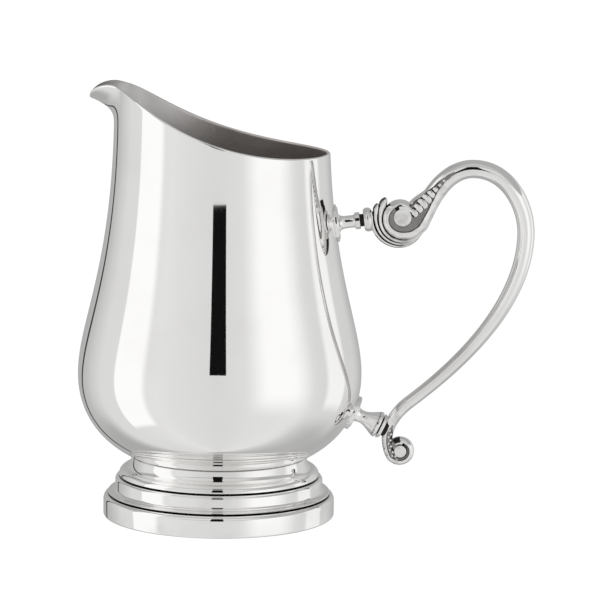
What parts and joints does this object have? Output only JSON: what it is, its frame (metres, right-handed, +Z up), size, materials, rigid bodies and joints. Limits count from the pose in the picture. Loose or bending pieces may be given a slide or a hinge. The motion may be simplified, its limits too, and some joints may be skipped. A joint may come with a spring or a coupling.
{
  "type": "milk jug",
  "caption": "Footed silver-plated milk jug: pear-shaped spun body with a drawn spout, a stepped round foot and a cast scroll handle on turned stems.",
  "frame": {"origin": "on the surface that the jug stands on, under the middle of its box", "axes": "+X from the spout to the handle, +Z up, Y across"},
  "size_m": [0.1342, 0.0838, 0.1288],
  "materials": {
    "body_silver": "mirror-polished silver plate",
    "foot_silver": "polished silver plate, dark seams",
    "turned_silver": "polished turned silver plate",
    "cast_silver": "polished casting, oxidised in its grooves",
    "grip_silver": "polished by handling"
  },
  "bodies": {
    "root": {"body_shell": "body_silver", "foot_plinth": "foot_silver", "foot_middle": "foot_silver", "foot_collar": "foot_silver", "upper_patch": "turned_silver", "upper_stem": "turned_silver", "upper_ferrule": "turned_silver", "lower_patch": "turned_silver", "lower_stem": "turned_silver", "lower_ferrule": "turned_silver", "upper_scroll": "cast_silver", "lower_scroll": "cast_silver", "handle_rod": "grip_silver"}
  },
  "joints": []
}
